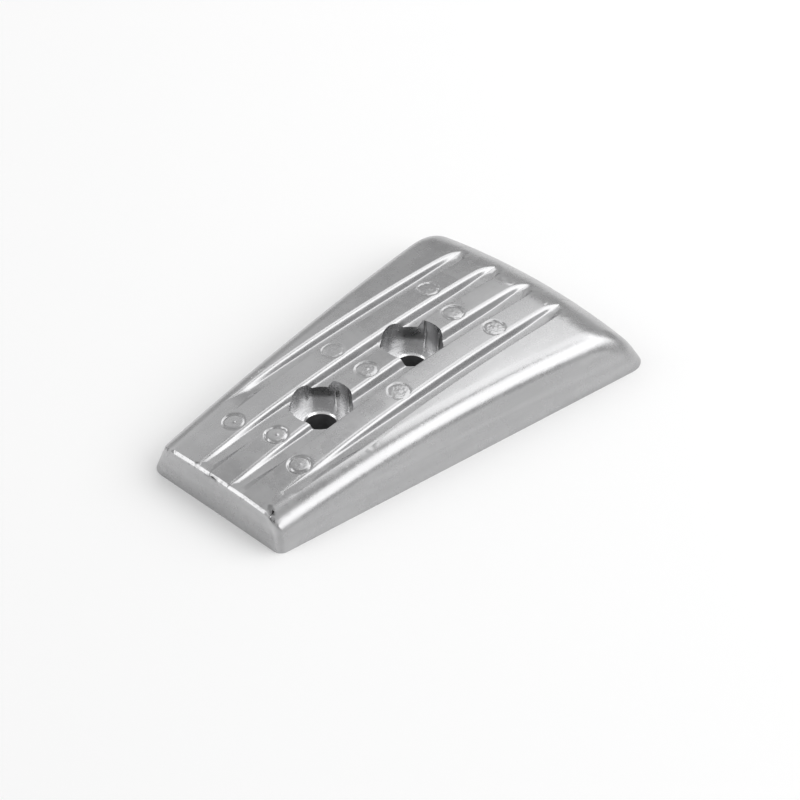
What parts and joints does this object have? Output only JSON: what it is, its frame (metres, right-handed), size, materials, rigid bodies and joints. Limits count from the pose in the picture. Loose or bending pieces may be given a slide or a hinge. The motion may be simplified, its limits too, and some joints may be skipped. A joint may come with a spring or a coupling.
{
  "type": "sacrificial anode",
  "caption": "Flat wedge-shaped sacrificial anode casting with a bowed rear end, crowned grooved top and counterbored bolt holes on its centre line.",
  "frame": {"origin": "middle of the flat base, on the centre line and half way between the narrow front edge and the bowed rear edge", "axes": "+X to the side across the casting, +Y from the narrow front end to the wide bowed rear end, +Z out of the flat base through the grooved top"},
  "size_m": [0.0964, 0.1582, 0.0195],
  "materials": {
    "cast_metal": "bare satin casting, lightly tumbled, with fine casting grain"
  },
  "bodies": {
    "root": {"anode_casting": "cast_metal"}
  },
  "joints": []
}
